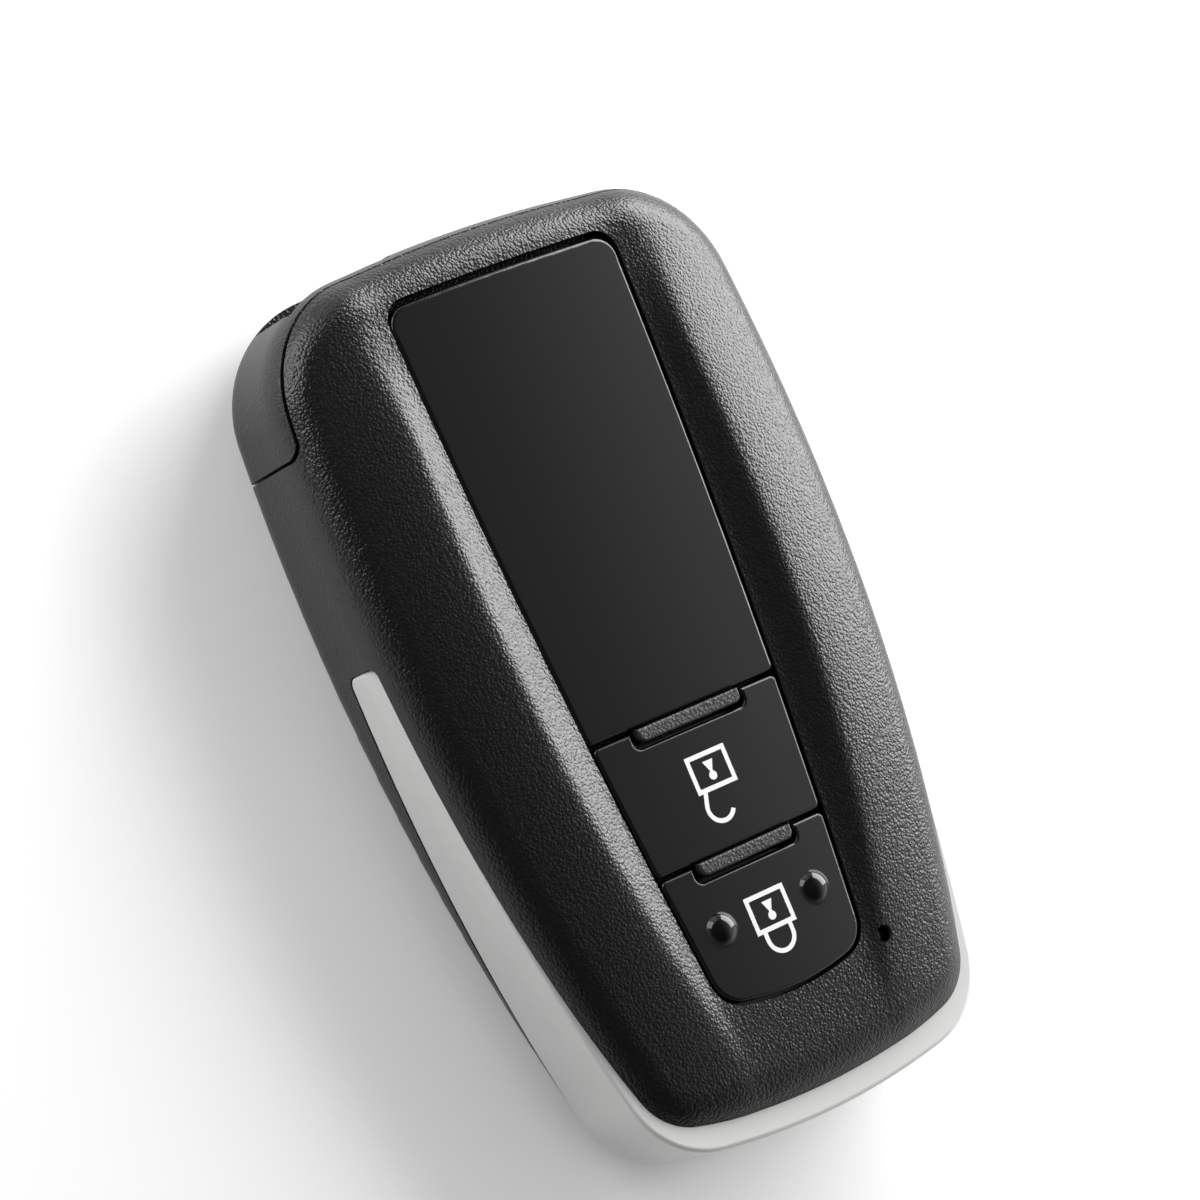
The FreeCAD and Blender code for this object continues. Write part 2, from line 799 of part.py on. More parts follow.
def key_cap(low, seam, rib_length):
    """Key with a soft top edge, notched round its rib and undercut over the bars."""
    first = low == window_bottom_y
    bottom = -case_length if first else low + key_gap / 2
    cap = between_seams(window, key_z, tall, key_gap, bottom, seam - key_gap / 2)
    corners = edges_where(cap, lambda p, edge: is_upright(edge) and abs(p.x) > overcut
                          and (p.y > seam - key_gap or (not first and p.y < low + key_gap)))
    cap = cap.makeFillet(key_corner_radius, corners)
    half = rib_length / 2 + rib_room
    notch = box(-half, half, seam - rib_width - rib_room, seam + overcut, 0.0, tall)
    corners = edges_where(notch, lambda p, edge: is_upright(edge) and p.y < seam)
    notch = notch.makeFillet(rib_corner_radius, corners)
    cap = cap.cut(notch).common(crown_cylinder())
    top = max(cap.Faces, key=lambda face: face.CenterOfMass.z)
    cap = cap.makeFillet(key_edge_radius, top.Edges)
    lift = bar_top + key_travel + press_room
    reach = bar_margin + slide_fit
    cap = cap.cut(box(-case_width, case_width, seam - rib_width - reach, seam, 0.0, lift))
    if not first:
        cap = cap.cut(box(-case_width, case_width, low, low + reach, 0.0, lift))
    flange_low = -case_length if first else low + reach
    flange = between_seams(window, key_z, key_z + key_flange, -key_flange_width, flange_low,
                           seam - rib_width - reach)
    x, y = pipe_place()
    flange = flange.cut(post(x, y, 0.0, tall, pipe_radius + pipe_room))
    return cap.fuse(flange).removeSplitter()


def frame_outline(x0, x1, y0, y1, z0, z1, width):
    """Rectangular ring."""
    outer = box(x0, x1, y0, y1, z0, z1)
    return outer.cut(box(x0 + width, x1 - width, y0 + width, y1 - width, z0, z1))


def arc_stroke(x, y, radius, start, stop, z0, z1):
    """Round stroke along part of a circle, with square ends; angles in degrees."""
    half = stroke / 2
    axis = Vector(0, 0, 1)
    outer = Part.makeCylinder(radius + half, z1 - z0, Vector(0, 0, 0), axis, stop - start)
    inner = Part.makeCylinder(radius - half, z1 - z0, Vector(0, 0, 0), axis)
    piece = outer.cut(inner)
    piece.rotate(Vector(0, 0, 0), axis, start)
    piece.translate(Vector(x, y, z0))
    return piece


def straight_stroke(x0, y0, x1, y1, z0, z1):
    """Straight stroke between two points, with square ends."""
    length = math.hypot(x1 - x0, y1 - y0)
    piece = box(0.0, length, -stroke / 2, stroke / 2, 0.0, z1 - z0)
    angle = math.degrees(math.atan2(y1 - y0, x1 - x0))
    piece.rotate(Vector(0, 0, 0), Vector(0, 0, 1), angle)
    piece.translate(Vector(x0, y0, z0))
    return piece


def keyhole(y, z0, z1):
    """Keyhole pictogram: a wedge that narrows to a neck over a round hole."""
    wide = keyhole_width / 2
    neck = keyhole_neck / 2
    top = y + keyhole_rise
    low = y - keyhole_drop
    corners = [Vector(-wide, top, z0), Vector(wide, top, z0), Vector(neck, y, z0),
               Vector(neck, low, z0), Vector(-neck, low, z0), Vector(-neck, y, z0)]
    wedge = Part.Face(Part.makePolygon(corners + corners[:1])).extrude(Vector(0, 0, z1 - z0))
    return wedge.fuse(post(0.0, low, z0, z1, keyhole_radius))


def padlock(y, opened):
    """Padlock pictogram below the middle of its square body, closed or opened."""
    z0 = key_z
    z1 = tall
    half_w = lock_body_width / 2
    half_h = lock_body_height / 2
    low = y - half_h + stroke / 2
    body = frame_outline(-half_w, half_w, y - half_h, y + half_h, z0, z1, stroke)
    pieces = [keyhole(y, z0, z1)]
    if opened:
        x = -open_shackle_left
        bow = y - half_h - open_shackle_drop
        start = math.radians(open_shackle_start)
        left = x + open_shackle_radius * math.cos(start)
        top = bow + open_shackle_radius * math.sin(start)
        pieces.append(straight_stroke(-open_shackle_foot, low, left, top, z0, z1))
        pieces.append(arc_stroke(x, bow, open_shackle_radius, open_shackle_start,
                                 open_shackle_stop, z0, z1))
    else:
        bow = y - half_h - shackle_straight
        for x in (-shackle_radius, shackle_radius):
            pieces.append(straight_stroke(x, low, x, bow, z0, z1))
        pieces.append(arc_stroke(0.0, bow, shackle_radius, 180.0, 360.0, z0, z1))
    return body.multiFuse(pieces).removeSplitter()


def symbol(y, opened):
    """Pictogram moulded into a key's crown."""
    inlay = padlock(y, opened).common(crown_cylinder())
    return inlay.cut(crown_cylinder(symbol_depth))


def feel_pips(seam):
    """Two small domes that let a finger find the lock key."""
    radius = pip_diameter / 2
    sphere = (radius ** 2 + pip_height ** 2) / (2 * pip_height)
    pips = []
    for x in (-pip_offset, pip_offset):
        half = window_width / 2
        top = key_crown_z - key_crown_rise * (x / half) ** 2
        ball = Part.makeSphere(sphere, Vector(x, seam - pip_from_seam, top + pip_height - sphere))
        pips.append(ball.cut(box(-case_width, case_width, -case_length, case_length, -tall,
                                 top - pip_root)))
    return pips


def antenna_coil():
    """Low-frequency aerial: a square bobbin with its winding, under the board."""
    y = switch_place(window_bottom_y, lock_seam_y)
    half = antenna_size / 2
    z0 = board_z - antenna_height
    flange = antenna_flange
    bobbin = box(-half, half, y - half, y + half, board_z - flange, board_z)
    lower = box(-half, half, y - half, y + half, z0, z0 + flange)
    winding = box(-half + flange, half - flange, y - half + flange, y + half - flange,
                  z0 + flange / 2, board_z - flange / 2)
    upright = edges_where(winding, lambda p, edge: is_upright(edge))
    winding = winding.makeFillet(flange, upright)
    return bobbin.multiFuse([lower, winding]).removeSplitter()


def board_chips():
    """Packages on the board above the keypad."""
    chips = []
    for x, back, length, width, height in chip_packages:
        y = compartment_y - back
        chips.append(box(x - length / 2, x + length / 2, y - width / 2, y + width / 2,
                         board_top, board_top + height))
    return chips


def indicator_led():
    """Indicator light on the board, under its light pipe."""
    x, y = pipe_place()
    return box(x - led_length / 2, x + led_length / 2, y - led_width / 2, y + led_width / 2,
               board_top, board_top + led_height)


def seal_gasket():
    """Seal cord between the frame's rim and the ledge inside the cover."""
    outer = side_wall + frame_fit
    ring = compartment(seal_z, seal_top, outer)
    return ring.cut(compartment(0.0, tall, outer + seal_width))


def ring_slot():
    """Way for a key ring: in at the end face and out through the back."""
    left = ring_slot_side - half_width
    right = left + ring_slot_width
    entry = box(left, right, top_y - ring_bar_length - ring_exit_length, case_length,
                ring_slot_bottom, ring_slot_top)
    far = edges_where(entry, lambda p, edge: p.y < top_y - ring_bar_length and is_upright(edge))
    entry = entry.makeFillet(ring_slot_corner, far)
    y1 = top_y - ring_bar_length
    leave = box(left, right, y1 - ring_exit_length, y1, -tall, ring_slot_top)
    leave = leave.makeFillet(ring_slot_corner, edges_where(leave, lambda p, edge: is_upright(edge)))
    return entry.fuse(leave)


def key_head(body):
    """Head of the emergency key: the rear corner block of the case, with the ring slot."""
    head = body.common(head_space(-head_gap)).cut(ring_slot())
    half = blade_width / 2
    socket = box(blade_x - half, blade_x + half, head_y, head_y + blade_root, blade_z,
                 blade_z + blade_thickness)
    return head.cut(socket)


def key_blade():
    """Uncut steel blade with a groove in each face, a pointed tip and the catch's notch."""
    half = blade_width / 2
    tip_y = head_y - blade_reach
    root_y = head_y + blade_root
    blade = box(blade_x - half, blade_x + half, tip_y, root_y, blade_z, blade_z + blade_thickness)
    tips = edges_where(blade, lambda p, edge: is_upright(edge) and p.y < tip_y + 0.1)
    blade = blade.makeChamfer(blade_tip_chamfer, tips)
    groove = blade_groove_width / 2
    for z in (blade_z - blade_groove_depth, blade_z + blade_thickness - blade_groove_depth):
        cutter = box(blade_x - groove, blade_x + groove, tip_y - overcut,
                     head_y - blade_groove_stop, z, z + 2 * blade_groove_depth)
        blade = blade.cut(cutter)
    y = slider_y()
    notch = box(blade_x - half - overcut, blade_x - half + notch_depth, y - notch_length / 2,
                y + notch_length / 2, 0.0, tall)
    return blade.cut(notch)


def slider_left():
    """Left end of the slider's body, where the spring pushes."""
    return slider_right() - slider_pad_length - 2 * slider_overlap - slider_travel


def slider_opening():
    """Opening of the rear cover for the slider's thumb pad and its travel."""
    x1 = slider_right() - slider_overlap + slide_fit
    x0 = slider_right() - slider_overlap - slider_pad_length - slider_travel - slide_fit
    half = slider_pad_width / 2 + slide_fit
    return box(x0, x1, slider_y() - half, slider_y() + half, -tall, rear_plate)


def release_slider():
    """Thumb slider in the back whose nose catches the blade."""
    x1 = slider_right()
    y = slider_y()
    z0 = rear_plate + close_fit
    half = slider_pad_width / 2 + slider_overlap
    flange = box(slider_left(), x1, y - half, y + half, z0, z0 + slider_flange)
    pad_x1 = x1 - slider_overlap
    pad = box(pad_x1 - slider_pad_length, pad_x1, y - slider_pad_width / 2,
              y + slider_pad_width / 2, slider_sink, z0)
    groove = slider_groove_width / 2
    for step in range(slider_grooves):
        x = pad_x1 - slider_pad_length * (step + 1) / (slider_grooves + 1)
        pad = pad.cut(box(x - groove, x + groove, y - half, y + half, 0.0,
                          slider_sink + slider_groove_depth))
    tip = blade_x - blade_width / 2 - slide_fit
    nose_half = notch_length / 2 - slide_fit
    nose = box(x1 - slider_nose_root, tip, y - nose_half, y + nose_half, z0,
               z0 + slider_nose_height)
    seat_half = spring_diameter / 2 + spring_seat / 2
    seat = box(slider_left(), slider_left() + spring_seat, y - seat_half, y + seat_half, z0,
               frame_z - slide_fit)
    return flange.multiFuse([pad, nose, seat]).removeSplitter()


def release_spring():
    """Small coil spring behind the slider, between it and its seat in the rear cover."""
    radius = (spring_diameter - spring_wire) / 2
    length = spring_length - spring_wire
    helix = Part.makeLongHelix(length / spring_turns, length, radius)
    circle = Part.makeCircle(spring_wire / 2, Vector(radius, 0, 0), Vector(0, 1, 0))
    coil = Part.Wire(helix.Edges).makePipeShell([Part.Wire(circle)], True, True)
    coil.rotate(Vector(0, 0, 0), Vector(0, 1, 0), 90)
    x0 = slider_left() - spring_length + spring_wire / 2
    z = rear_plate + close_fit + spring_diameter / 2 + spring_wire / 2
    coil.translate(Vector(x0, slider_y(), z))
    return coil


def front_panel():
    """Smooth bare panel that fills the window above the keys."""
    start = unlock_seam_y + window_gap
    plate = between_seams(panel, seat_z, tall, window_gap, start, case_length)
    corners = edges_where(plate, lambda p, edge: is_upright(edge) and p.y < start + key_gap)
    plate = plate.makeFillet(key_corner_radius, corners)
    plate = plate.common(crown_cylinder())
    top = max(plate.Faces, key=lambda face: face.CenterOfMass.z)
    return plate.makeFillet(panel_edge_radius, top.Edges)


def save(name, pieces):
    """Write one sub-part, which may be a group of separate solids."""
    shape = pieces if isinstance(pieces, Part.Shape) else Part.makeCompound(pieces)
    shape.exportStep(os.path.join("parts", name + ".step"))
    state = "valid" if shape.isValid() else "NOT VALID"
    print(name, len(shape.Solids), state, round(shape.Volume, 2))


def main():
    os.makedirs("parts", exist_ok=True)
    body = case_body()
    save("front_cover", front_cover(body))
    save("rear_cover", rear_cover(body))
    save("key_head", key_head(body))
    save("key_blade", key_blade())
    save("side_trim", side_trim())
    save("front_panel", front_panel())
    for name, low, seam, rib_length in key_places():
        cap = key_cap(low, seam, rib_length)
        opened = name == "unlock"
        from_seam = unlock_symbol_from_seam if opened else lock_symbol_from_seam
        mark = symbol(seam - from_seam, opened)
        if not opened:
            cap = cap.multiFuse(feel_pips(seam)).removeSplitter()
        y = switch_place(low, seam)
        save(name + "_button", cap.cut(mark))
        save(name + "_symbol", mark)
        save(name + "_plunger", plunger(y))
        save(name + "_dome", dome_web_ring(y))
        save(name + "_switch", push_switch(y))
        save(name + "_switch_stem", switch_stem(y))
    save("keypad_membrane", keypad_membrane())
    save("circuit_board", circuit_board())
    save("board_chips", board_chips())
    save("antenna_coil", antenna_coil())
    save("indicator_led", indicator_led())
    save("light_pipe", light_pipe())
    save("coin_cell", coin_cell())
    save("positive_contact", positive_contact())
    save("negative_contact", negative_contact())
    save("inner_frame", inner_frame())
    save("seal_gasket", seal_gasket())
    save("release_slider", release_slider())
    save("release_spring", release_spring())


main()
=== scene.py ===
# %% [markdown]
# # A smart key fob, dressed for its picture
# The object is a car key fob shell that lies on its back. Its front and rear covers and the head
# of its emergency key are dark ABS with a leather grain, a white band wraps its lower end, and a
# smooth black panel and two satin keys fill its window. The solids come from the CAD frame and
# keep their places. This lesson gives each of them the finish of its real material, lays a floor
# under them, and sets the camera and the light.

# %% Load the frame
import json
import math

import bpy
from mathutils import Matrix, Vector


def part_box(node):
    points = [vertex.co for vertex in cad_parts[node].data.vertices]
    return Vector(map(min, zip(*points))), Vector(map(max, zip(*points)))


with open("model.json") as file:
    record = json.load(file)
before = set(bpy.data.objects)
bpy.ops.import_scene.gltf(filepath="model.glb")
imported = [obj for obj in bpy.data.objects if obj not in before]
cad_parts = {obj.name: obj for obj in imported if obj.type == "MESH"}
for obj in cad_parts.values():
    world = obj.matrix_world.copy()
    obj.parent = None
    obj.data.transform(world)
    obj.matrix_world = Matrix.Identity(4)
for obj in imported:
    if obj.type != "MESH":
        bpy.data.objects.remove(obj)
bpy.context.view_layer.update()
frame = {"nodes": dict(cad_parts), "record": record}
nodes = frame["nodes"]
MM = 0.001

# %% [markdown]
# The camera comes first, because every other choice is judged through it. The picture was taken
# from the fob's left, 31 degrees off the line that stands straight out of the button face, with
# the camera rolled so that the fob leans to the left. The direction, roll, distance and aim are
# kept as separate values, so each can be changed alone. A long lens keeps the perspective weak.

# %% Camera
IMAGE_SIZE = 1200
VIEW_TILT = math.radians(31.0)
VIEW_LEAN = math.radians(1.29)
VIEW_ROLL = math.radians(-22.87)
VIEW_DISTANCE = 350 * MM
VIEW_TARGET = Vector((0, 0, 8 * MM))
AIM_RIGHT = 2.75 * MM
AIM_UP = -5.61 * MM
PIXELS_PER_RADIAN = 4444.6
SENSOR = 36.0


def camera_axes():
    """Right, up and backward directions of the camera."""
    back = Vector((-math.sin(VIEW_TILT) * math.cos(VIEW_LEAN), -math.sin(VIEW_LEAN),
                   math.cos(VIEW_TILT) * math.cos(VIEW_LEAN)))
    level_up = Vector((0, 1, 0)) - back.y * back
    level_up.normalize()
    level_right = level_up.cross(back)
    right = math.cos(VIEW_ROLL) * level_right + math.sin(VIEW_ROLL) * level_up
    up = math.cos(VIEW_ROLL) * level_up - math.sin(VIEW_ROLL) * level_right
    return right, up, back


right, up, back = camera_axes()
camera_data = bpy.data.cameras.new("picture_camera")
camera_data.sensor_width = SENSOR
camera_data.lens = PIXELS_PER_RADIAN / IMAGE_SIZE * SENSOR
camera = bpy.data.objects.new("picture_camera", camera_data)
bpy.context.scene.collection.objects.link(camera)
turn = Matrix((right, up, back)).transposed().to_4x4()
place = VIEW_TARGET + VIEW_DISTANCE * back - AIM_RIGHT * right - AIM_UP * up
camera.matrix_world = Matrix.Translation(place) @ turn
bpy.context.scene.camera = camera
print("lens in mm:", round(camera_data.lens, 1))

# %% [markdown]
# Materials are built from nodes. Two helpers are enough: one turns an sRGB hex colour, as a
# colour picker shows it, into the linear values that the shader needs, and one adds a node with
# its settings and its links. Each real material then gets one short function.

# %% Helpers for materials
def linear(hex_colour):
    """Linear colour of an sRGB hex value such as #1c1d1e."""
    channels = [int(hex_colour[start:start + 2], 16) / 255 for start in (1, 3, 5)]
    mixed = [c / 12.92 if c <= 0.04045 else ((c + 0.055) / 1.055) ** 2.4 for c in channels]
    return (*mixed, 1.0)


def add(tree, kind, links=(), **settings):
    """Adds a node: settings are its options or its inputs' values, links join its inputs."""
    node = tree.nodes.new(kind)
    for name, value in settings.items():
        if hasattr(node, name):
            setattr(node, name, value)
        else:
            node.inputs[name.replace("_", " ")].default_value = value
    for name, source in links:
        tree.links.new(source, node.inputs[name])
    return node


def material(name):
    """New material and its tree, with the output node and the object's own coordinates."""
    made = bpy.data.materials.new(name)
    made.use_nodes = True
    tree = made.node_tree
    tree.nodes.clear()
    output = add(tree, "ShaderNodeOutputMaterial")
    place = add(tree, "ShaderNodeTexCoord").outputs["Object"]
    return made, tree, output, place


print("dark grey #282829 is", [round(c, 4) for c in linear("#282829")])

# %% [markdown]
# The covers, the key head and the small ribs are ABS, injection moulded in a tool whose steel was
# etched with a fine leather grain. To the eye that is a near-black skin of soft lumps a fifth of
# a millimetre across, with creases between them, that glints where it faces the light. A cell
# pattern makes the lumps, and noise bends it so that no two are alike. The lumps are shallow and
# the skin on them is fairly glossy, so a lump glints on one side only: rougher skin would blur
# the grain away. Bump is the right tool for a grain of a few hundredths of a millimetre.
#
# The side walls have the same grain, but they were drawn out of the tool along it, which leaves
# them duller, and so are the ribs between the keys. Both are also painted a lighter grey: painted
# light for the brightness that the upright walls and the ribs catch. The deep part of the
# window's
# gaps keeps no sheen: painted shade, which shows as the black line round the keys.

# %% Leather-grained ABS
GRAIN_CELL = 0.24 * MM
GRAIN_DEPTH = 0.045 * MM
GRAIN_WANDER = 0.3 * MM
GRAIN_SHIFT = 0.2 * MM
GRAIN_CREASE = 0.3
WALL_STEEP = 0.2
WALL_GENTLE = 0.5
GRAIN_ROUGHNESS = 0.26
DRAWN_ROUGHNESS = 0.42
FULL_SHEEN = 0.5
# Sheen left in the deep part of the window's gaps: painted shade.
GAP_SHADE_SHEEN = 0.05

# Boxes in the cover: the middle and the half size of the one round the ribs' upper parts and of
# the one that holds the deep part of the window's gaps, where shade is painted.
key_face_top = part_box("unlock_button")[1][2]
RIB_BOX = (Vector((0, -5 * MM, key_face_top + 0.15 * MM)), Vector((5.6, 15, 0.45)) * MM)
PAINTED_GAP_SHADE_BOX = (Vector((0, 3 * MM, key_face_top - 1.0 * MM)), Vector((13, 30.9, 0.65)) * MM)
print("key face in mm above the back:", round(key_face_top / MM, 2))


def inside_box(tree, place, box):
    """1 inside a box, 0 outside it."""
    axes = add(tree, "ShaderNodeSeparateXYZ", [("Vector", place)])
    found = None
    for axis, middle, half in zip("XYZ", *box):
        near = add(tree, "ShaderNodeMath", [(0, axes.outputs[axis])], operation="COMPARE")
        near.inputs[1].default_value = middle
        near.inputs[2].default_value = half
        if found is None:
            found = near
        else:
            found = add(tree, "ShaderNodeMath", [(0, found.outputs[0]), (1, near.outputs[0])],
                        operation="MULTIPLY")
    return found.outputs[0]


def upright_faces(tree):
    """1 on the faces that stand upright, 0 on the others."""
    normal = add(tree, "ShaderNodeSeparateXYZ",
                 [("Vector", add(tree, "ShaderNodeTexCoord").outputs["Normal"])])
    upright = add(tree, "ShaderNodeMath", [(0, normal.outputs["Z"])], operation="ABSOLUTE")
    wall = add(tree, "ShaderNodeMapRange", [("Value", upright.outputs[0])],
               From_Min=WALL_STEEP, From_Max=WALL_GENTLE, To_Min=1.0, To_Max=0.0)
    return wall.outputs["Result"]


def leather_grained_abs():
    """Dark moulded skin of the covers, the key head and the ribs."""
    made, tree, output, place = material("leather_grained_abs")
    wander = add(tree, "ShaderNodeTexNoise", [("Vector", place)], Scale=1 / GRAIN_WANDER,
                 Detail=1.0)
    shift = add(tree, "ShaderNodeVectorMath", [(0, wander.outputs["Color"])],
                operation="MULTIPLY_ADD")
    shift.inputs[1].default_value = (GRAIN_SHIFT, GRAIN_SHIFT, GRAIN_SHIFT)
    tree.links.new(place, shift.inputs[2])
    lumps = add(tree, "ShaderNodeTexVoronoi", [("Vector", shift.outputs[0])],
                feature="SMOOTH_F1", Scale=1 / GRAIN_CELL, Smoothness=GRAIN_CREASE)
    bump = add(tree, "ShaderNodeBump", [("Height", lumps.outputs["Distance"])], invert=True,
               Strength=1.0, Distance=GRAIN_DEPTH)
    # Lump tops are a touch lighter and the creases between them a touch darker: painted crease
    # shade.
    tone = add(tree, "ShaderNodeValToRGB", [("Fac", lumps.outputs["Distance"])])
    tone.color_ramp.elements[0].color = linear("#111213")
    tone.color_ramp.elements[1].color = linear("#0b0c0c")
    # Mask of the deep part of the window's gaps, where painted shade goes.
    painted_gap_shade = inside_box(tree, place, PAINTED_GAP_SHADE_BOX)
    wall = add(tree, "ShaderNodeMath", [(0, upright_faces(tree)), (1, painted_gap_shade)],
               operation="SUBTRACT")
    drawn_and_painted_light = add(tree, "ShaderNodeMath",
                [(0, wall.outputs[0]), (1, inside_box(tree, place, RIB_BOX))],
                operation="MAXIMUM").outputs[0]
    # In the deep part of the gaps the sheen is cut: painted shade.
    sheen = add(tree, "ShaderNodeMapRange", [("Value", painted_gap_shade)], To_Min=FULL_SHEEN,
                To_Max=GAP_SHADE_SHEEN)
    # Upright walls outside the gaps and the ribs get the lighter grey #2a2b2c: painted light for
    # the brightness they catch. Their higher roughness is the duller drawn grain.
    shade = add(tree, "ShaderNodeMix", [("Factor", drawn_and_painted_light)], data_type="RGBA")
    tree.links.new(tone.outputs["Color"], shade.inputs["A"])
    shade.inputs["B"].default_value = linear("#2a2b2c")
    dull = add(tree, "ShaderNodeMapRange", [("Value", drawn_and_painted_light)], To_Min=GRAIN_ROUGHNESS,
               To_Max=DRAWN_ROUGHNESS)
    surface = add(tree, "ShaderNodeBsdfPrincipled",
                  [("Base Color", shade.outputs["Result"]), ("Normal", bump.outputs["Normal"]),
                   ("Roughness", dull.outputs["Result"]),
                   ("Specular IOR Level", sheen.outputs["Result"])], IOR=1.52)
    tree.links.new(surface.outputs[0], output.inputs["Surface"])
    return made


print("grain cells per mm:", round(MM / GRAIN_CELL, 2))

# %% [markdown]
# The band is white polycarbonate, moulded in a tool with a fine satin polish: an even, slightly
# warm white with a soft sheen. Only a trace of flow marks keeps it from being a flat colour.

# %% Satin white polycarbonate
FLOW_MARK = 6 * MM
SKIN_GRAIN = 0.16 * MM
SKIN_DEPTH = 0.01 * MM


def satin_white_polycarbonate():
    """White moulded skin of the band."""
    made, tree, output, place = material("satin_white_polycarbonate")
    flow = add(tree, "ShaderNodeTexNoise", [("Vector", place)], Scale=1 / FLOW_MARK, Detail=3.0)
    tone = add(tree, "ShaderNodeValToRGB", [("Fac", flow.outputs["Fac"])])
    tone.color_ramp.elements[0].color = linear("#d8d9d7")
    tone.color_ramp.elements[1].color = linear("#dedfdd")
    fine = add(tree, "ShaderNodeTexNoise", [("Vector", place)], Scale=1 / SKIN_GRAIN, Detail=2.0)
    bump = add(tree, "ShaderNodeBump", [("Height", fine.outputs["Fac"])], Strength=0.15,
               Distance=SKIN_DEPTH)
    surface = add(tree, "ShaderNodeBsdfPrincipled",
                  [("Base Color", tone.outputs["Color"]), ("Normal", bump.outputs["Normal"])],
                  Roughness=0.34, IOR=1.58)
    tree.links.new(surface.outputs[0], output.inputs["Surface"])
    return made


print("skin grain in mm:", round(SKIN_GRAIN / MM, 2))

# %% [markdown]
# The panel is piano-black acrylic with a polished face, and the keys are ABS from a tool with a
# fine satin face: the panel mirrors the room faintly, the keys only blur it. Both get a very
# shallow waviness, which every moulded face has and which breaks up straight reflections. The
# two pips on the lock key were polished in the tool, so everything that stands higher than a
# plain key's face gets a glossier skin, and each pip catches a sharp crescent of light.

# %% Polished acrylic and satin ABS
SINK_WAVE = 9 * MM
SINK_DEPTH = 0.03 * MM
SATIN_DEPTH = 0.002 * MM
PIP_EDGE = 0.06 * MM
PIP_ROUGHNESS = 0.07


def smooth_black(name, hex_colour, roughness, gloss_above=None):
    """Black moulded plastic with a shallow waviness and a fine satin grain."""
    made, tree, output, place = material(name)
    wave = add(tree, "ShaderNodeTexNoise", [("Vector", place)], Scale=1 / SINK_WAVE, Detail=1.0)
    wavy = add(tree, "ShaderNodeBump", [("Height", wave.outputs["Fac"])], Strength=0.25,
               Distance=SINK_DEPTH)
    fine = add(tree, "ShaderNodeTexNoise", [("Vector", place)], Scale=1 / SKIN_GRAIN, Detail=3.0)
    satin = add(tree, "ShaderNodeBump", [("Height", fine.outputs["Fac"]),
                                         ("Normal", wavy.outputs["Normal"])],
                Strength=0.3, Distance=SATIN_DEPTH)
    surface = add(tree, "ShaderNodeBsdfPrincipled", [("Normal", satin.outputs["Normal"])],
                  Roughness=roughness, IOR=1.5, Base_Color=linear(hex_colour))
    if gloss_above is not None:
        axes = add(tree, "ShaderNodeSeparateXYZ", [("Vector", place)])
        polish = add(tree, "ShaderNodeMapRange", [("Value", axes.outputs["Z"])],
                     From_Min=gloss_above, From_Max=gloss_above + PIP_EDGE,
                     To_Min=roughness, To_Max=PIP_ROUGHNESS)
        tree.links.new(polish.outputs["Result"], surface.inputs["Roughness"])
    tree.links.new(surface.outputs[0], output.inputs["Surface"])
    return made


print("polished above, in mm:", round(key_face_top / MM, 2))

# %% [markdown]
# Inside lie the parts that the shell is made to hold. They show only when the emergency key is
# drawn out, but each still gets its own material: silicone rubber, glass-fibre board under green
# lacquer, moulded epoxy, enamelled copper wire, and nickel-plated and brushed steel.

# %% Inner materials
def simple(name, hex_low, hex_high, patch, roughness, metallic=0.0, ior=1.5):
    """Material of two close tones in patches of a real size, with a fine surface grain."""
    made, tree, output, place = material(name)
    patches = add(tree, "ShaderNodeTexNoise", [("Vector", place)], Scale=1 / patch, Detail=4.0)
    tone = add(tree, "ShaderNodeValToRGB", [("Fac", patches.outputs["Fac"])])
    tone.color_ramp.elements[0].color = linear(hex_low)
    tone.color_ramp.elements[1].color = linear(hex_high)
    bump = add(tree, "ShaderNodeBump", [("Height", patches.outputs["Fac"])], Strength=0.3,
               Distance=SKIN_DEPTH)
    surface = add(tree, "ShaderNodeBsdfPrincipled",
                  [("Base Color", tone.outputs["Color"]), ("Normal", bump.outputs["Normal"])],
                  Roughness=roughness, Metallic=metallic, IOR=ior)
    tree.links.new(surface.outputs[0], output.inputs["Surface"])
    return made


# %% [markdown]
# The frame's record says which finish each piece has. One table holds a material for each finish,
# so pieces of the same plastic share one, as they would come from the same granulate.

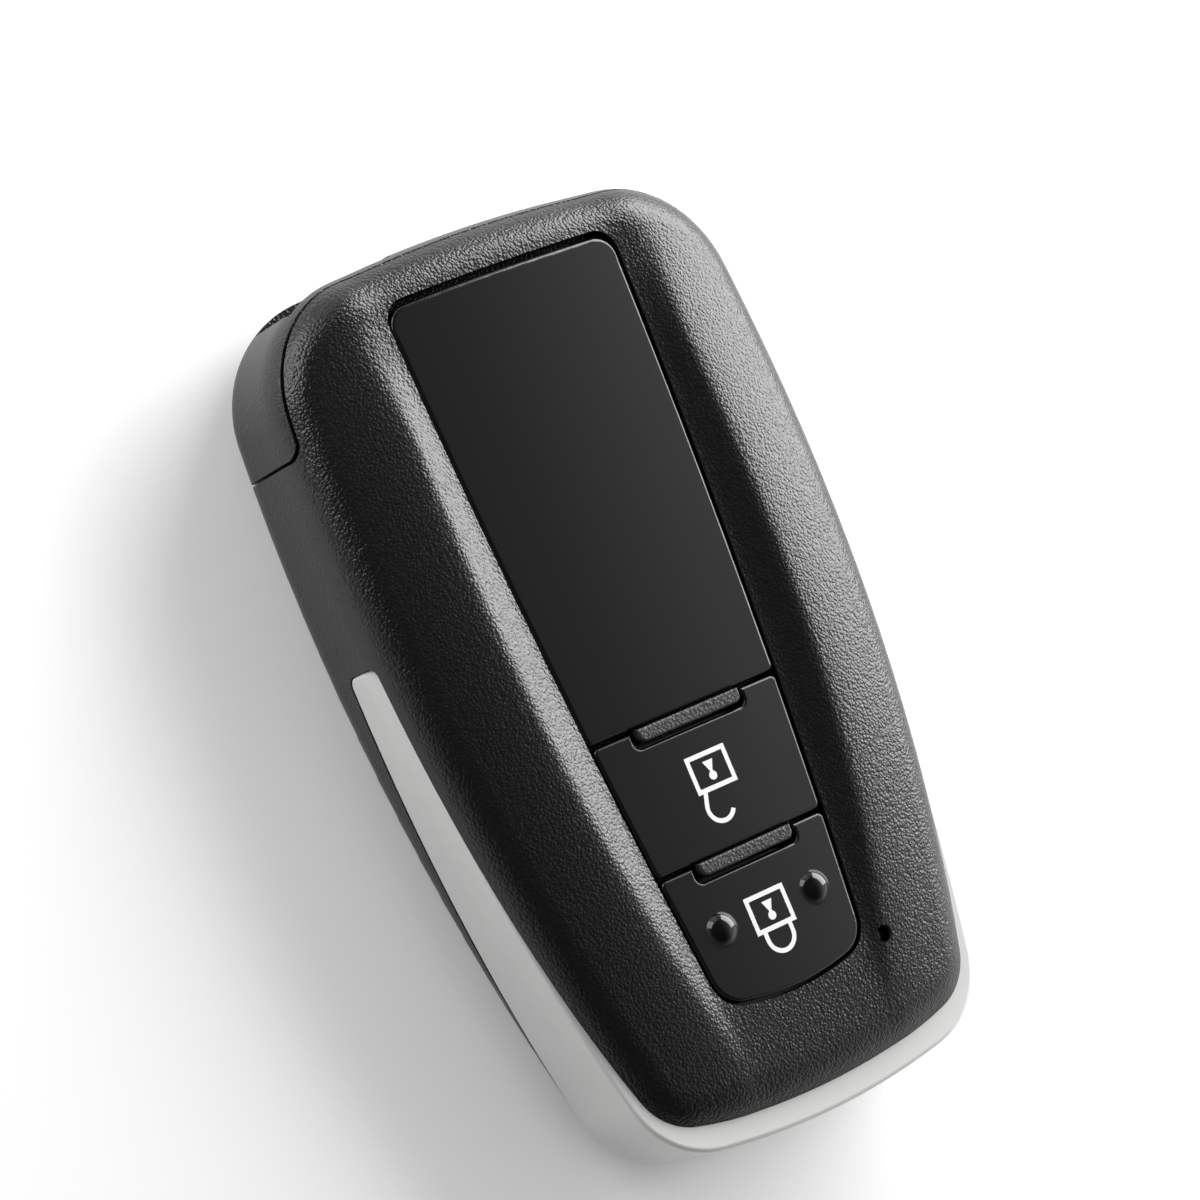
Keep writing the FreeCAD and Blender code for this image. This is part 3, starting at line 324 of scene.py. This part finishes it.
# %% Give each node its material
FINISHES = {
    "grained_cover": leather_grained_abs(),
    "white_trim": satin_white_polycarbonate(),
    "gloss_panel": smooth_black("polished_black_acrylic", "#0c0c0d", 0.16),
    "key_plastic": smooth_black("satin_black_abs", "#070808", 0.22, key_face_top),
    "white_ink": simple("white_abs_inlay", "#f2f2f0", "#fafaf8", 2 * MM, 0.5),
    "silicone": simple("silicone_rubber", "#2b2b2d", "#333335", 0.5 * MM, 0.7),
    "seal_rubber": simple("seal_rubber", "#111111", "#181818", 0.4 * MM, 0.8),
    "switch_body": simple("moulded_lcp", "#202022", "#29292b", 0.5 * MM, 0.5),
    "board_laminate": simple("lacquered_glass_laminate", "#12452a", "#195636", 1.5 * MM, 0.3),
    "chip_epoxy": simple("moulded_epoxy", "#131315", "#1b1b1d", 0.3 * MM, 0.65),
    "coil_ferrite": simple("enamelled_copper_winding", "#5a2c14", "#7d4420", 0.4 * MM, 0.35),
    "led_lens": simple("led_silicone", "#d9cfa8", "#e6dfc0", 0.5 * MM, 0.3),
    "pipe_clear": simple("smoked_acrylic_rod", "#030303", "#060606", 1 * MM, 0.1),
    "cell_steel": simple("nickel_plated_steel", "#b9b7b1", "#c9c7c2", 0.8 * MM, 0.28, 1.0),
    "spring_steel": simple("spring_steel", "#a9a8a4", "#bdbcb8", 0.5 * MM, 0.25, 1.0),
    "blade_steel": simple("milled_nickel_silver", "#a6a49c", "#bab8b0", 0.6 * MM, 0.3, 1.0),
    "inner_plastic": simple("moulded_polyamide", "#18181a", "#212123", 0.6 * MM, 0.55),
}
for row in frame["record"]["subparts"]:
    mesh = nodes[row["node"]].data
    mesh.materials.clear()
    mesh.materials.append(FINISHES[row["material_slot"]])
print("materials:", len(FINISHES))

# %% [markdown]
# The stage is a plain white floor. It has to look white to the camera and still keep the fob's
# shadow, so it is a white matt sheet that also glows a little, but only for the rays that come
# straight from the camera or from a reflection. The glow lights nothing.

# %% Floor
FLOOR_HALF = 3.0
FLOOR_GLOW = 0.16

floor_mesh = bpy.data.meshes.new("floor")
corners = [(-FLOOR_HALF, -FLOOR_HALF, 0), (FLOOR_HALF, -FLOOR_HALF, 0),
           (FLOOR_HALF, FLOOR_HALF, 0), (-FLOOR_HALF, FLOOR_HALF, 0)]
floor_mesh.from_pydata(corners, [], [(0, 1, 2, 3)])
floor = bpy.data.objects.new("floor", floor_mesh)
bpy.context.scene.collection.objects.link(floor)
paper, tree, output, place = material("matt_white_paper")
seen = add(tree, "ShaderNodeLightPath")
either = add(tree, "ShaderNodeMath", [(0, seen.outputs["Is Camera Ray"]),
                                      (1, seen.outputs["Is Glossy Ray"])], operation="MAXIMUM")
glow = add(tree, "ShaderNodeMath", [(0, either.outputs[0])], operation="MULTIPLY")
glow.inputs[1].default_value = FLOOR_GLOW
sheet = add(tree, "ShaderNodeBsdfPrincipled", [("Emission Strength", glow.outputs[0])],
            Base_Color=linear("#f6f6f6"), Roughness=0.9, Emission_Color=(1.0, 1.0, 1.0, 1.0))
tree.links.new(sheet.outputs[0], output.inputs["Surface"])
floor_mesh.materials.append(paper)
print("floor in m:", 2 * FLOOR_HALF)

# %% [markdown]
# A black moulded part shows what it mirrors, not its own colour, so the light is placed by where
# each face looks. The slope along the window's left edge and the right shoulder mirror the low
# right side, and there stands one large soft box. The flat faces mirror the sky 60 degrees up on
# the right, which is a dim grey. The left shoulder mirrors the zenith, which is dark, and the
# side wall mirrors the white floor. A faint box stands over the head end, and one at the left
# of the head lights the key head, the upper end of the band and the floor there.
#
# The right box is brighter than a plain level. It was matched in this view, in which the right
# side wall can't be seen. Seen from the right, the white band's wall clips to white there.

# %% Lamps and world
def soft_box(name, azimuth, elevation, distance, width, height, radiance):
    """Area lamp that faces the fob; azimuth 0 is the fob's right and 90 its head end."""
    a = math.radians(azimuth)
    e = math.radians(elevation)
    way = Vector((math.cos(a) * math.cos(e), math.sin(a) * math.cos(e), math.sin(e)))
    data = bpy.data.lights.new(name, "AREA")
    data.shape = "RECTANGLE"
    data.size = width
    data.size_y = height
    data.energy = radiance * math.pi * width * height
    lamp = bpy.data.objects.new(name, data)
    bpy.context.scene.collection.objects.link(lamp)
    turned = way.to_track_quat("Z", "Y").to_matrix().to_4x4()
    lamp.matrix_world = Matrix.Translation(way * distance) @ turned
    return lamp


soft_box("right_soft_box", azimuth=24, elevation=24, distance=0.45, width=0.5, height=0.3,
         radiance=7.8)
soft_box("head_soft_box", azimuth=100, elevation=24, distance=0.5, width=0.36, height=0.26,
         radiance=0.8)
soft_box("left_soft_box", azimuth=132, elevation=23, distance=0.2, width=0.12, height=0.1,
         radiance=4.0)

# Brightness of the sky: by height above the horizon, and by how far it lies to the right. The
# horizon is dimmer behind the fob's lower end.
SKY_BY_HEIGHT = [(0.22, 0.7), (0.55, 0.1)]
SKY_BY_RIGHT = [(0.1, 0.0), (0.45, 0.24), (0.75, 1.0)]
SKY_LOWER_END = 0.45


def sky_ramp(tree, source, stops):
    """Grey ramp over one part of the direction."""
    ramp = add(tree, "ShaderNodeValToRGB", [("Fac", source)])
    elements = ramp.color_ramp.elements
    while len(elements) < len(stops):
        elements.new(1.0)
    for element, (position, level) in zip(elements, stops):
        element.position = position
        element.color = (level, level, level, 1.0)
    return ramp.outputs["Color"]


world = bpy.data.worlds.new("studio")
bpy.context.scene.world = world
world.use_nodes = True
tree = world.node_tree
tree.nodes.clear()
way = add(tree, "ShaderNodeTexCoord").outputs["Generated"]
axes = add(tree, "ShaderNodeSeparateXYZ", [("Vector", way)])
dimmer = add(tree, "ShaderNodeMapRange", [("Value", axes.outputs["Y"])],
             From_Min=-0.9, From_Max=0.2, To_Min=SKY_LOWER_END)
horizon = add(tree, "ShaderNodeVectorMath",
              [(0, sky_ramp(tree, axes.outputs["Z"], SKY_BY_HEIGHT)),
               (1, dimmer.outputs["Result"])], operation="MULTIPLY")
both = add(tree, "ShaderNodeVectorMath",
           [(0, horizon.outputs[0]),
            (1, sky_ramp(tree, axes.outputs["X"], SKY_BY_RIGHT))], operation="ADD")
sky = add(tree, "ShaderNodeBackground", [("Color", both.outputs[0])], Strength=1.0)
add(tree, "ShaderNodeOutputWorld", [("Surface", sky.outputs[0])])
bpy.context.scene.view_settings.view_transform = "Standard"
